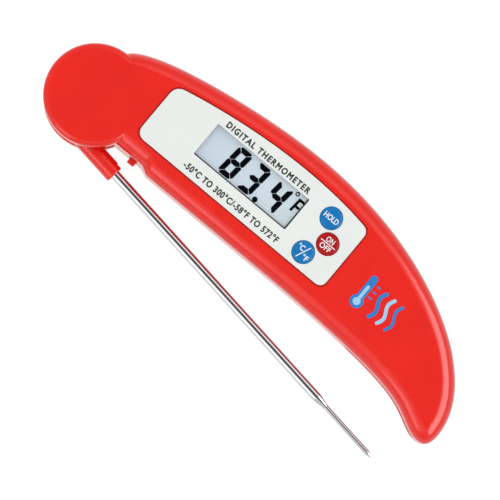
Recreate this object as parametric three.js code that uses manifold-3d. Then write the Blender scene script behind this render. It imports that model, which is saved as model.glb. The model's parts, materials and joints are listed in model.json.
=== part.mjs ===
// Folding pocket thermometer: a curved plastic handle with a display, whose steel probe folds
// along the handle's straight edge on a round hub held between two discs.
//
// Millimetres. The origin lies on the hub's pivot axis, at the rear face. +X runs along the
// handle to its tail, +Y towards its curved back, and +Z out of the front face.

import * as THREE from 'three';
import { mergeVertices } from 'three/addons/utils/BufferGeometryUtils.js';
import Module from 'manifold-3d';

const wasm = await Module();
wasm.setup();

// ---------------------------------------------------------------- driving dimensions

const THICK = 20;            // front face to rear face
const SPLIT = THICK / 2;     // the plane where the front and rear shells meet
const WALL = 2;              // side walls
const SKIN = 1.8;            // front and rear walls
const EDGE = 2.4;            // rounding of the handle's front and rear edges
const GAP = 0.3;             // clearance between separate pieces
const STRAIGHT = -8.5;       // y of the handle's straight edge
const FRONT_NOTCH = -6.8;    // y of its step beside the probe holder, in the front shell
const REAR_NOTCH = -7.5;     // and in the rear shell

const DISC_R = 15.4;         // front and rear discs
const DISC_EDGE = 2;
const DISC_T = 6;            // thickness of each disc
const HUB_R = 14.8;
const HUB_T = 6.8;           // hub thickness, between the washers
const BOSS_R = 3.8;          // pivot boss on the front disc
const BOSS_BORE = 2.4;
const RUNNING = 0.12;        // radial running clearance of the hub on its boss

const REST_ANGLE = -8;       // probe direction at rest, in degrees from the folded position
const ARM_Y = -11;           // probe axis, measured from the pivot, with the probe folded
const ARM_R = 2.9;           // holder radius
const ARM_END = 21;          // holder's end face
const PROBE_R = 1.5;
const TIP_R = 0.82;          // reduced tip
const NECK_START = 110.3;    // where the tube starts to narrow
const NECK_END = 113.6;
const POINT_START = 132.4;
const PROBE_END = 134.85;

const LABEL_TOP = THICK - 0.05;
const LABEL_POCKET = 0.4;    // depth of the pocket that holds the label
const WINDOW = { x0: 33.3, x1: 68.3, y0: 5.2, y1: 16.7 };

const BOARD_Z = 12.6;        // rear face of the circuit board
const BOARD_T = 1.2;
const BOARD_TOP = BOARD_Z + BOARD_T;

const BUTTON_R = 3.5;
const BUTTON_TOP = THICK + 0.3;
const BUTTONS = [
  { name: 'hold', x: 76.7, y: 16.6, colour: 0x1173c0 },
  { name: 'power', x: 80.75, y: 10.05, colour: 0xc8152a },
  { name: 'unit', x: 76.7, y: 3.6, colour: 0x1173c0 },
];

const PEG = { x: 20.65, w: 2.7, tip: -8.8, travel: 1.0 };    // folding switch's push peg

const CELL = { x0: 39.6, length: 44.5, r: 5.1, y: 12, z: 7 };  // one AAA cell
const DOOR = { x0: 37.5, x1: 89.5, y0: 5, y1: 19, t: 1, corner: 2.5 };
const MAGNET = { x: 108, y: 4, r: 6, t: 2 };
const CASE_SCREWS = [[21.5, 16.5], [94.5, 20], [93, -3], [121.5, 6]];
const BOARD_SCREWS = [[28.2, 18.8], [84.6, -2]];

// ---------------------------------------------------------------- materials

const finish = (color, roughness, metalness = 0) =>
  new THREE.MeshStandardMaterial({ color, roughness, metalness });

const RED = finish(0xe42a20, 0.25);
const LABEL = finish(0xe6ebe6, 0.5);
const CLEAR = finish(0xd8e4ea, 0.08);
const LCD = finish(0xb9c4cc, 0.15);
const BLACK = finish(0x1d1d1f, 0.6);
const WHITE = finish(0xe9e9e6, 0.5);
const BOARD = finish(0x1c6b3a, 0.5);
const STEEL = finish(0xc4c6c8, 0.22, 1);
const BRIGHT = finish(0xd6d6d2, 0.3, 1);
const RUBBER = finish(0x9aa0a6, 0.8);
const CELL_WRAP = finish(0x2b2c30, 0.35);
const COPPER = finish(0xb87333, 0.35, 1);

// ---------------------------------------------------------------- solids

/** Turns a closed three.js geometry into a manifold-3d solid. */
function solid(geometry) {
  const bare = geometry.index ? geometry.toNonIndexed() : geometry.clone();
  bare.deleteAttribute('normal');
  bare.deleteAttribute('uv');
  const merged = mergeVertices(bare, 1e-4);
  const corners = merged.index.array;
  const kept = [];
  for (let i = 0; i < corners.length; i += 3) {
    const [a, b, c] = [corners[i], corners[i + 1], corners[i + 2]];
    if (a !== b && b !== c && c !== a) kept.push(a, b, c);
  }
  return new wasm.Manifold(new wasm.Mesh({
    numProp: 3,
    vertProperties: new Float32Array(merged.attributes.position.array),
    triVerts: new Uint32Array(kept),
  }));
}

/** Turns a manifold-3d solid back into a three.js geometry. */
function geometryOf(made) {
  const mesh = made.getMesh();
  const geometry = new THREE.BufferGeometry();
  geometry.setAttribute('position', new THREE.BufferAttribute(mesh.vertProperties, 3));
  geometry.setIndex(new THREE.BufferAttribute(mesh.triVerts, 1));
  return geometry;
}

/** A shape in the XY plane, raised from z0 to z1. */
function prism(shape, z0, z1, curveSegments = 10) {
  const options = { depth: z1 - z0, bevelEnabled: false, curveSegments };
  return solid(new THREE.ExtrudeGeometry(shape, options).translate(0, 0, z0));
}

/** The same with its outline moved in by inset, and its front and rear edges rounded. */
function roundedPrism(shape, z0, z1, inset, edge, steps, curveSegments = 10) {
  const options = {
    depth: z1 - z0 - 2 * edge, bevelEnabled: true, bevelThickness: edge, bevelSize: edge,
    bevelOffset: -edge - inset, bevelSegments: steps, curveSegments,
  };
  return solid(new THREE.ExtrudeGeometry(shape, options).translate(0, 0, z0 + edge));
}

function block(x0, x1, y0, y1, z0, z1) {
  const box = new THREE.BoxGeometry(x1 - x0, y1 - y0, z1 - z0);
  return solid(box.translate((x0 + x1) / 2, (y0 + y1) / 2, (z0 + z1) / 2));
}

/** A turned solid about the Z axis through (x, y); the profile is a list of [radius, z]. */
function turned(profile, x = 0, y = 0, sides = 24) {
  const points = profile.map(([r, z]) => new THREE.Vector2(r, z));
  const lathe = new THREE.LatheGeometry(points, sides);
  return solid(lathe.rotateX(Math.PI / 2).translate(x, y, 0));
}

const rod = (r, z0, z1, x = 0, y = 0, sides = 24) =>
  turned([[0, z0], [r, z0], [r, z1], [0, z1]], x, y, sides);

const ring = (inner, outer, z0, z1, x = 0, y = 0, sides = 32) =>
  turned([[inner, z0], [outer, z0], [outer, z1], [inner, z1], [inner, z0]], x, y, sides);

/** A rod along X from x0 to x1, at height z. */
function rodX(r, x0, x1, y, z, sides = 24) {
  const cylinder = new THREE.CylinderGeometry(r, r, x1 - x0, sides).rotateZ(Math.PI / 2);
  return solid(cylinder.translate((x0 + x1) / 2, y, z));
}

/** A wire of round section through the points given. */
function wire(points, radius, steps, sides = 6) {
  const circle = new THREE.Shape().absarc(0, 0, radius, 0, 2 * Math.PI);
  const path = new THREE.CatmullRomCurve3(points.map((p) => new THREE.Vector3(...p)));
  const options = { steps, extrudePath: path, curveSegments: sides / 2, bevelEnabled: false };
  return solid(new THREE.ExtrudeGeometry(circle, options));
}

function roundedRect(x0, x1, y0, y1, r) {
  const shape = new THREE.Shape();
  shape.moveTo(x0 + r, y0);
  shape.absarc(x1 - r, y0 + r, r, -Math.PI / 2, 0);
  shape.absarc(x1 - r, y1 - r, r, 0, Math.PI / 2);
  shape.absarc(x0 + r, y1 - r, r, Math.PI / 2, Math.PI);
  shape.absarc(x0 + r, y0 + r, r, Math.PI, 1.5 * Math.PI);
  return shape;
}

// ---------------------------------------------------------------- the scene graph

const thermometer = new THREE.Group();
const probeGroup = new THREE.Group();       // drawn folded, then turned to its rest angle
probeGroup.rotation.z = THREE.MathUtils.degToRad(REST_ANGLE);
thermometer.add(probeGroup);

function add(name, made, material, parent = thermometer) {
  const mesh = new THREE.Mesh(geometryOf(made), material);
  mesh.name = name;
  parent.add(mesh);
}

// ---------------------------------------------------------------- outlines

/** The handle's outline: curved back, rounded tail, hollow belly and straight edge. */
function handleOutline() {
  const s = new THREE.Shape();
  s.moveTo(0, STRAIGHT);
  s.lineTo(-1, 15.3);
  s.bezierCurveTo(0.9, 18.9, 12, 22, 18, 23.3);
  s.bezierCurveTo(32, 26.4, 50, 28.7, 64, 28.7);
  s.bezierCurveTo(102, 28.7, 124.5, 14, 130.8, 8.3);
  s.bezierCurveTo(133, 6.3, 142, -1.3, 142, -12.1);
  s.bezierCurveTo(142, -15.6, 141, -17.4, 138.3, -17.4);
  s.bezierCurveTo(135, -17.4, 132.6, -15.4, 128.2, -13.5);
  s.bezierCurveTo(122, -10.9, 112, -9, 76, STRAIGHT);
  return s;
}

/** The step in the straight edge that makes room for the probe holder. */
function notchOutline(floor) {
  const s = new THREE.Shape();
  s.moveTo(10, STRAIGHT - 4);
  s.lineTo(27, STRAIGHT - 4);
  s.lineTo(27, STRAIGHT);
  s.bezierCurveTo(25.5, STRAIGHT, 24.7, floor, 23, floor);
  s.lineTo(10, floor);
  return s;
}

/** The label's outline, larger all round by grow. */
function labelOutline(grow = 0) {
  const [x0, x1, y0] = [16.6 - grow, 87.6 + grow, -1.2 - grow];
  const s = new THREE.Shape();
  s.moveTo(x0 + 3.3, y0);
  s.lineTo(x1 - 2.7, y0);
  s.quadraticCurveTo(x1, y0, x1, y0 + 2.7);
  s.lineTo(x1, 18.3);
  s.quadraticCurveTo(x1, 20.7 + grow, x1 - 2.4, 21.1 + grow);
  s.bezierCurveTo(65.3, 24.4 + grow, 41.7, 22.7 + grow, 19.8 - grow, 18 + grow);
  s.quadraticCurveTo(x0, 17.3 + grow, x0, 14.2);
  s.lineTo(x0, y0 + 3.3);
  s.quadraticCurveTo(x0, y0, x0 + 3.3, y0);
  return s;
}

const handleBlock = () => roundedPrism(handleOutline(), 0, THICK, 0, EDGE, 3);

/** The room inside the handle, between z0 and z1, clear of the hub and of the tip's slot. */
function cavity(z0, z1) {
  return roundedPrism(handleOutline(), SKIN, THICK - SKIN, WALL, 0.4, 1, 8)
    .subtract(rod(DISC_R + 1.8, -1, THICK + 1, 0, 0, 48))
    .subtract(block(-2, 16, -20, 30, -1, THICK + 1))
    .subtract(block(14, 28, -12, -5.4, -1, THICK + 1))
    .subtract(block(99, 145, -20, -6.9, -1, THICK + 1))
    .subtract(block(127, 145, -20, 30, -1, THICK + 1))
    .intersect(block(0, 150, -20, 30, z0, z1));
}

/** What a shell leaves free: hub, its notch, slot for the probe's tip, and the peg's hole. */
function freeSpace(notchFloor) {
  const half = PEG.w / 2 + GAP;
  return rod(DISC_R - 0.3, DISC_T, THICK - DISC_T, 0, 0, 48)
    .add(block(-20, 0, -20, 30, DISC_T, THICK - DISC_T))
    .add(prism(notchOutline(notchFloor), -1, THICK + 1, 6))
    .add(block(104, PROBE_END + 2.6, -20, -8.8, SPLIT - 2.2, SPLIT + 2.2))
    .add(block(PEG.x - half, PEG.x + half, -10, -5, SPLIT - half, SPLIT + half));
}

/** A disc of the pivot, with its outer edge rounded, standing on z = 0. */
function pivotDisc() {
  const profile = [[0, DISC_T], [0, 0], [DISC_R - DISC_EDGE, 0]];
  for (const angle of [30, 60, 90]) {
    const a = THREE.MathUtils.degToRad(angle);
    const r = DISC_R - DISC_EDGE + DISC_EDGE * Math.sin(a);
    profile.push([r, DISC_EDGE - DISC_EDGE * Math.cos(a)]);
  }
  profile.push([DISC_R, DISC_T], [0, DISC_T]);
  return turned(profile, 0, 0, 48);
}

// ---------------------------------------------------------------- shells and label

function frontShell() {
  const disc = pivotDisc().rotate([180, 0, 0]).translate([0, 0, THICK]);
  let shell = handleBlock().intersect(block(-20, 150, -25, 35, SPLIT, THICK));
  shell = shell.subtract(freeSpace(FRONT_NOTCH)).add(disc).subtract(cavity(SPLIT - 1, THICK - SKIN));
  for (const [x, y] of CASE_SCREWS) {
    shell = shell.add(rod(2.6, SPLIT, THICK - SKIN + 0.5, x, y, 16));
    shell = shell.subtract(rod(1.15, SPLIT - 1, THICK - SKIN - 1, x, y, 12));
  }
  for (const [x, y] of BOARD_SCREWS) {
    shell = shell.add(rod(1.9, BOARD_TOP + 0.1, THICK - SKIN + 0.5, x, y, 16));
    shell = shell.subtract(rod(1.05, BOARD_TOP, THICK - SKIN - 0.6, x, y, 12));
  }
  shell = shell.subtract(prism(labelOutline(0.15), THICK - LABEL_POCKET, THICK + 1));
  shell = shell.subtract(block(WINDOW.x0 - 1, WINDOW.x1 + 1, WINDOW.y0 - 1, WINDOW.y1 + 1, SPLIT, THICK));
  for (const b of BUTTONS) {
    shell = shell.subtract(rod(BUTTON_R + 0.15, SPLIT, THICK, b.x, b.y, 24));
  }
  // pivot boss, hollow for the sensor leads, with a way in from the hub and out to the handle
  shell = shell.add(rod(BOSS_R, DISC_T + GAP, THICK - DISC_T + 0.5, 0, 0, 48));
  shell = shell.subtract(rod(BOSS_BORE, DISC_T - 1, THICK - 3.5));
  shell = shell.subtract(block(-1.2, 1.2, -BOSS_R - 1, 0, 8.8, 11.2));
  return shell.subtract(block(0, DISC_R + 4, -1.2, 1.2, THICK - DISC_T - 0.1, THICK - 3.5));
}

function rearShell() {
  const disc = pivotDisc();
  let shell = handleBlock().intersect(block(-20, 150, -25, 35, 0, SPLIT));
  shell = shell.subtract(freeSpace(REAR_NOTCH)).add(disc).subtract(cavity(SKIN, SPLIT + 1));
  // walls of the battery bay
  const [bx0, bx1] = [CELL.x0 - 3.4, CELL.x0 + CELL.length + 7];
  const bay = block(bx0, bx1, CELL.y - 7.4, CELL.y + 7.4, SKIN - 0.5, SPLIT - 0.2)
    .subtract(block(bx0 + 1.2, bx1 - 1.2, CELL.y - 6.2, CELL.y + 6.2, 0, SPLIT));
  shell = shell.add(bay);
  for (const [x, y] of CASE_SCREWS) {
    shell = shell.add(rod(3.2, SKIN - 0.5, SPLIT, x, y, 16));
    shell = shell.subtract(rod(2.5, -1, 3.2, x, y, 16));
    shell = shell.subtract(rod(1.45, 0, SPLIT + 1, x, y, 12));
  }
  shell = shell.subtract(prism(doorOutline(0), -1, DOOR.t + 0.15, 4));
  shell = shell.subtract(prism(doorOutline(1.5), 0, SKIN + 1, 4));
  return shell.add(rod(MAGNET.r + 1.4, SKIN - 0.5, MAGNET.t + 1.2, MAGNET.x, MAGNET.y, 28))
    .subtract(rod(MAGNET.r + 0.15, -1, MAGNET.t + 0.1, MAGNET.x, MAGNET.y, 28));
}

/** The battery door's outline, smaller all round by inset. */
const doorOutline = (inset) =>
  roundedRect(DOOR.x0 + inset, DOOR.x1 - inset, DOOR.y0 + inset, DOOR.y1 - inset, DOOR.corner);

function batteryDoor() {
  const panel = prism(doorOutline(0.25), 0, DOOR.t, 4);
  const lip = prism(doorOutline(1.8), DOOR.t - 0.3, DOOR.t + 0.8, 4)
    .subtract(prism(doorOutline(2.8), DOOR.t, DOOR.t + 2, 4));
  let door = panel.add(lip);
  for (let i = 0; i < 5; i += 1) {          // finger grip
    const x = DOOR.x1 - 5 - 1.8 * i;
    door = door.subtract(block(x - 0.45, x + 0.45, DOOR.y0 + 3.5, DOOR.y1 - 3.5, -1, 0.4));
  }
  return door;
}

function faceLabel() {
  let label = prism(labelOutline(), LABEL_TOP - 0.3, LABEL_TOP);
  label = label.subtract(block(WINDOW.x0, WINDOW.x1, WINDOW.y0, WINDOW.y1, 15, THICK + 1));
  for (const b of BUTTONS) {
    label = label.subtract(rod(BUTTON_R + 0.1, 15, THICK + 1, b.x, b.y, 32));
  }
  return label;
}

// ---------------------------------------------------------------- hub and probe, drawn folded

function probeHub() {
  const [z0, z1] = [SPLIT - HUB_T / 2, SPLIT + HUB_T / 2];
  const arm = rodX(ARM_R, 0, ARM_END, ARM_Y, SPLIT, 32);
  let hub = rod(HUB_R, z0, z1, 0, 0, 48).add(arm);
  hub = hub.subtract(ring(BOSS_R + 1.4, 13, z0 + 1.3, z1 - 1.4));      // room for the leads
  hub = hub.subtract(ring(BOSS_R + 1.4, 13.4, z0 - 1, z0 + 1.35));     // seat of the hub cover
  hub = hub.subtract(rod(BOSS_R + RUNNING, 0, THICK, 0, 0, 48));
  hub = hub.subtract(block(-1.3, 1.3, -BOSS_R - 2, -BOSS_R + 1, 8.6, 11.4));
  hub = hub.subtract(rodX(PROBE_R + 0.12, 5.5, ARM_END + 1, ARM_Y, SPLIT, 20));
  // relief that the folding switch's peg stands in
  const half = PEG.w / 2 + GAP;
  return hub.subtract(block(PEG.x - half, ARM_END + 1, PEG.tip - GAP, 0, SPLIT - half, SPLIT + half));
}

/** The probe: one drawn steel tube, narrowed to a closed point, open at its hub end. */
function probeTube() {
  const bore = PROBE_R - 0.3;
  const tipBore = TIP_R - 0.3;
  const start = 7.6;
  const profile = [
    [bore, start], [PROBE_R, start], [PROBE_R, NECK_START], [TIP_R, NECK_END],
    [TIP_R, POINT_START], [0, PROBE_END], [0, POINT_START - 0.6], [tipBore, POINT_START - 1],
    [tipBore, NECK_END], [bore, NECK_START], [bore, start],
  ];
  return alongArm(turned(profile, 0, 0, 20));
}

/** Lays a solid built along +Z onto the probe's axis. */
const alongArm = (made) => made.rotate([0, 90, 0]).translate([0, ARM_Y, SPLIT]);

function sensorBead() {
  const [z0, z1] = [POINT_START - 4, POINT_START - 1.3];
  return alongArm(turned([[0, z0], [0.3, z0 + 0.3], [0.3, z1 - 0.3], [0, z1]], 0, 0, 12));
}

function sensorLead(side) {
  const y = ARM_Y + 0.22 * side;
  const far = POINT_START - 4.3;
  return wire([
    [far, y, SPLIT], [80, y, SPLIT], [40, y, SPLIT], [14, y, SPLIT],
    [5.5, ARM_Y + 0.6 * side, SPLIT], [1.5, -9.2 + 0.5 * side, SPLIT], [0.6 * side, -6.4, SPLIT],
  ], 0.16, 24, 4);
}

// ---------------------------------------------------------------- display and electronics

const FRAME = { x0: 31, x1: 71, y0: 2.6, y1: 19.2 };

function lcdFrame() {
  const top = THICK - SKIN - 0.1;
  return block(FRAME.x0, FRAME.x1, FRAME.y0, FRAME.y1, BOARD_TOP + 0.1, top)
    .subtract(block(FRAME.x0 + 1, FRAME.x1 - 1, FRAME.y0 + 1, FRAME.y1 - 1, BOARD_TOP, top - 0.3))
    .subtract(block(WINDOW.x0 - 0.6, WINDOW.x1 + 0.6, WINDOW.y0 - 0.6, WINDOW.y1 + 0.6, 0, THICK));
}

const displayWindow = () =>
  block(WINDOW.x0 - 0.8, WINDOW.x1 + 0.8, WINDOW.y0 - 0.8, WINDOW.y1 + 0.8, 18.4, 19.5);

const lcdGlass = () =>
  block(FRAME.x0 + 1.2, FRAME.x1 - 1.2, FRAME.y0 + 1.2, FRAME.y1 - 1.2, 15.9, 17.7);

const zebraStrip = () =>
  block(FRAME.x0 + 3, FRAME.x1 - 3, FRAME.y0 + 1.3, FRAME.y0 + 3.3, BOARD_TOP + 0.1, 15.8);

function circuitBoard() {
  let board = prism(roundedRect(25.6, 87.5, -5, 21.4, 1), BOARD_Z, BOARD_TOP, 4);
  for (const [x, y] of BOARD_SCREWS) board = board.subtract(rod(1.15, 0, THICK, x, y, 16));
  return board;
}

function screw(x, y, headZ, headR, headT, shaftR, length) {
  const z = headZ + headT;
  const made = turned([
    [0, headZ], [headR * 0.75, headZ], [headR, headZ + headT * 0.5], [headR, z],
    [shaftR, z], [shaftR, z + length - 0.8], [0, z + length],
  ], x, y, 16);
  const slot = headR * 0.6;
  return made
    .subtract(block(x - slot, x + slot, y - 0.22, y + 0.22, headZ - 1, headZ + headT * 0.6))
    .subtract(block(x - 0.22, x + 0.22, y - slot, y + slot, headZ - 1, headZ + headT * 0.6));
}

function buttonCap({ x, y }) {
  const profile = [
    [0, 16.6], [BUTTON_R, 16.6], [BUTTON_R, BUTTON_TOP - 0.4], [BUTTON_R - 0.4, BUTTON_TOP],
    [0, BUTTON_TOP],
  ];
  return turned(profile, x, y, 32)
    .add(block(x - 4.5, x + 4.5, y - 1.1, y + 1.1, 16.6, 17.8))
    .add(rod(1.2, 15.9, 16.8, x, y, 12));
}

const tactSwitch = ({ x, y }) =>
  block(x - 2.6, x + 2.6, y - 2.6, y + 2.6, BOARD_TOP + 0.1, 15.1)
    .subtract(rod(1.3, 14.15, 16, x, y, 16));

const tactPlunger = ({ x, y }) => rod(1.05, 14.65, 15.75, x, y, 16);

// ---------------------------------------------------------------- folding switch

function foldPeg() {
  const h = PEG.w / 2;
  return block(PEG.x - h, PEG.x + h, PEG.tip, -4.4, SPLIT - h, SPLIT + h)
    .add(block(PEG.x - h - 0.7, PEG.x + h + 0.7, -5.1, -4.3, SPLIT - h - 0.7, SPLIT + h + 0.7))
    .add(block(PEG.x - 0.7, PEG.x + 0.7, -4.5, -2.2, SPLIT - 0.7, SPLIT + 0.7));
}

const foldSwitch = () =>
  block(18, 23.4, -3, 1.4, 7.4, 12.2)
    .subtract(block(PEG.x - 1, PEG.x + 1, -4, -2.2 + PEG.travel + GAP, SPLIT - 1, SPLIT + 1));

// ---------------------------------------------------------------- battery and contacts

function batteryCell() {
  const { x0, length, r, y, z } = CELL;
  const profile = [
    [0, 0], [1.9, 0], [1.9, 0.9], [r - 0.6, 0.9], [r, 1.4], [r, length - 0.4], [r - 0.4, length],
    [0, length],
  ];
  return turned(profile, 0, 0, 28).rotate([0, 90, 0]).translate([x0, y, z]);
}

function positiveContact() {
  const x = CELL.x0 - 1.9;
  return block(x, x + 0.4, CELL.y - 4, CELL.y + 4, 3.4, 11.4)
    .add(block(x, x + 1.5, CELL.y - 1.4, CELL.y + 1.4, CELL.z - 1.4, CELL.z + 1.4));
}

const springPlate = () => {
  const x = CELL.x0 + CELL.length + 4.2;
  return block(x, x + 0.4, CELL.y - 4, CELL.y + 4, 3.4, 11.4);
};

/** Conical contact spring between the cell and its plate. */
function contactSpring() {
  const [x0, x1, turns, steps] = [CELL.x0 + CELL.length + 0.6, CELL.x0 + CELL.length + 3.6, 3, 40];
  const points = [];
  for (let i = 0; i <= steps; i += 1) {
    const t = i / steps;
    const angle = 2 * Math.PI * turns * t;
    const r = 1.8 + 1.7 * t;
    points.push([x0 + (x1 - x0) * t, CELL.y + r * Math.cos(angle), CELL.z + r * Math.sin(angle)]);
  }
  return wire(points, 0.3, 60, 6);
}

// ---------------------------------------------------------------- assembly

function addHandle() {
  add('front_shell', frontShell(), RED);
  add('rear_shell', rearShell(), RED);
  add('face_label', faceLabel(), LABEL);
  add('display_window', displayWindow(), CLEAR);
  add('battery_door', batteryDoor(), RED);
  add('magnet', rod(MAGNET.r, 0.1, MAGNET.t, MAGNET.x, MAGNET.y, 32), BRIGHT);
  CASE_SCREWS.forEach(([x, y], i) => {
    add(`case_screw_${i + 1}`, screw(x, y, 1.4, 2.1, 1.5, 0.95, 11), STEEL);
  });
}

function addElectronics() {
  add('lcd_glass', lcdGlass(), LCD);
  add('lcd_frame', lcdFrame(), WHITE);
  add('zebra_strip', zebraStrip(), RUBBER);
  add('circuit_board', circuitBoard(), BOARD);
  const blob = [[0, 0], [4, 0], [3.7, -0.7], [2.6, -1.3], [0, -1.6]].reverse();
  add('controller_chip', turned(blob, 33.5, 0.5, 20).translate([0, 0, BOARD_Z - 0.1]), BLACK);
  add('crystal', rodX(1, 39, 45, -3.4, BOARD_Z - 1.15, 12), BRIGHT);
  BOARD_SCREWS.forEach(([x, y], i) => {
    add(`board_screw_${i + 1}`, screw(x, y, BOARD_Z - 1.3, 1.8, 1.2, 0.9, 4.6), STEEL);
  });
  for (const b of BUTTONS) {
    add(`${b.name}_button`, buttonCap(b), finish(b.colour, 0.35));
    add(`${b.name}_switch`, tactSwitch(b), BLACK);
    add(`${b.name}_plunger`, tactPlunger(b), WHITE);
  }
  add('fold_switch', foldSwitch(), BLACK);
  add('fold_peg', foldPeg(), RED);
}

function addBattery() {
  add('battery_cell', batteryCell(), CELL_WRAP);
  add('battery_contact', positiveContact(), BRIGHT);
  add('battery_spring', contactSpring(), BRIGHT);
  add('battery_spring_plate', springPlate(), BRIGHT);
  const z = BOARD_Z - 0.4;
  const [left, right] = [CELL.x0 - 1.7, CELL.x0 + CELL.length + 4.4];
  add('positive_wire', wire([[left, 8.6, 11.8], [left - 2, 6, z - 0.3], [34, 4.9, z]], 0.35, 12), COPPER);
  add('negative_wire', wire([[right, 8.6, 11.8], [right - 2, 4.6, z - 0.3], [82, 1.6, z]], 0.35, 12), COPPER);
}

function addProbe() {
  const hubRear = SPLIT - HUB_T / 2;
  add('probe_hub', probeHub(), RED, probeGroup);
  add('hub_cover', ring(BOSS_R + 1.6, 13.2, hubRear + 0.1, hubRear + 1.1), RED, probeGroup);
  add('probe_tube', probeTube(), STEEL, probeGroup);
  add('sensor_bead', sensorBead(), BLACK, probeGroup);
  add('sensor_lead_a', sensorLead(-1), COPPER, probeGroup);
  add('sensor_lead_b', sensorLead(1), COPPER, probeGroup);
}

function addPivot() {
  const [rear, front] = [SPLIT - HUB_T / 2, SPLIT + HUB_T / 2];
  add('friction_washer', ring(BOSS_R + 0.2, 9, front + 0.1, front + 0.5, 0, 0, 40), WHITE);
  add('wave_washer', ring(BOSS_R + 0.2, 7, rear - 0.35, rear - 0.1, 0, 0, 40), STEEL);
  for (const [name, y] of [['board_lead_a', -0.5], ['board_lead_b', 0.5]]) {
    add(name, wire([
      [0, y - 0.6, 9.6], [0.2, y, 13.4], [2.4, y, 15.3], [10, y, 15.3], [18.2, y, 15],
      [22, y + 2.6, 13.4], [25, y + 3, 13.2],
    ], 0.25, 20, 4), COPPER);
  }
}

addHandle();
addElectronics();
addBattery();
addProbe();
addPivot();

export default thermometer;
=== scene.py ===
"""Folding pocket thermometer: fine shells, printed label, display and steel probe on the CAD frame.

Shapes are made in millimetres on the frame's own axes: +X along the handle to its tail, +Y to its
curved back, +Z out of the front face. finish_piece() turns each of them into metres.
"""

import json
import math

import bmesh
import bpy
from mathutils import Matrix, Vector


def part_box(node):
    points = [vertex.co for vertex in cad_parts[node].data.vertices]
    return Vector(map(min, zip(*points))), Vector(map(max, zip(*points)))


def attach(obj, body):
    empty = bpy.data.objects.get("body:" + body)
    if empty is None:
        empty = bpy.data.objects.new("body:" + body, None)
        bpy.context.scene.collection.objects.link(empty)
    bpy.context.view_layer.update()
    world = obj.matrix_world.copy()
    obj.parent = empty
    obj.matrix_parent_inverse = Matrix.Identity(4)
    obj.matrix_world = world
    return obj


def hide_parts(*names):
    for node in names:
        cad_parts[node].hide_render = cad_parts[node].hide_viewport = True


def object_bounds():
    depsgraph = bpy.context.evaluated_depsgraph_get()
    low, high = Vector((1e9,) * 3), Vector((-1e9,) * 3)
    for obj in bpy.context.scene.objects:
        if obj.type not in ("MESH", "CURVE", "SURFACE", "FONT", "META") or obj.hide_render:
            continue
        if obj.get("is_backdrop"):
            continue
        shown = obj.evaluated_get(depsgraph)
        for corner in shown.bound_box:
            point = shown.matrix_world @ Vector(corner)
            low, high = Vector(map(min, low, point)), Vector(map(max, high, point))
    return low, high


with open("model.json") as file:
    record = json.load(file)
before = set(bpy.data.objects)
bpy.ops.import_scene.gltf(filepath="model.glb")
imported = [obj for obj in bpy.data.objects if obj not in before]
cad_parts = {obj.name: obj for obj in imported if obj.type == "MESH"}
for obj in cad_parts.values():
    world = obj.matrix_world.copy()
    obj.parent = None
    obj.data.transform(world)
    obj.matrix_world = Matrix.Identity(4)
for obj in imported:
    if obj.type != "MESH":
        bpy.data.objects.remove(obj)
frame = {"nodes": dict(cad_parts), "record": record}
CAD_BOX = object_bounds()

# ---- sizes, from the frame

MM = 0.001


def box_mm(node):
    """The lowest and the highest corner of a CAD node, in millimetres."""
    low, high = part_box(node)
    return low / MM, high / MM


def middle(node):
    low, high = box_mm(node)
    return (low + high) / 2


THICK = box_mm("front_shell")[1].z
SPLIT = THICK / 2  # where the two shells meet
DISC_R = -box_mm("front_shell")[0].x
DISC_T = 6.0  # thickness of each pivot disc
DISC_EDGE = 2.0  # rounding of its outer edge
DISC_LIP = 0.35  # and of its inner rim
STRAIGHT = -8.5  # y of the straight edge
STRAIGHT_END = 76  # x where it begins to curve towards the tail
TAIL = 100  # x where the tail begins
NOTCH = -7.15  # y of its step beside the holder, halfway down
NOTCH_END = 27  # x where the straight edge takes over
NOTCH_DRAFT = 0.035  # how much the step's wall leans
WALL = 2.0
SKIN = 1.8
FILLET_WIDTH = 5.2  # rounding of the faces' edges, seen from the front
FILLET_HEIGHT = 5.0  # and from the side
PARTING = 0.12  # chamfer along the parting line
SLOT_LOW, SLOT_HIGH, SLOT_HALF = 104, 137, 2.2  # ends and half width of the slot for the probe's tip

HUB_R = 14.8
HUB_REAR = box_mm("wave_washer")[1].z + 0.1
HUB_FRONT = box_mm("friction_washer")[0].z - 0.1
BOSS_R = 3.8
BOSS_BORE = 2.4  # radius
KEY_HALF = 1.2  # half width of the lead slot through the boss
REST_ANGLE = math.radians(-8)  # the probe's turn at rest
ARM_Y = -11.0  # probe axis, with the probe folded
ARM_R = 2.9  # the holder
ARM_END = 21.0
PROBE_R = 1.5
TIP_R = 0.82
NECK = (110.3, 113.6)  # where the tube narrows, along its axis
POINT = (132.4, 134.85)  # and where it is ground to a point
TURN = Matrix.Rotation(REST_ANGLE, 4, "Z")  # from folded to rest
UPRIGHT_TO_X = Matrix.Rotation(math.pi / 2, 4, "Y")
ALONG_ARM = TURN @ Matrix.Translation((0, ARM_Y, SPLIT)) @ UPRIGHT_TO_X

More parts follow.
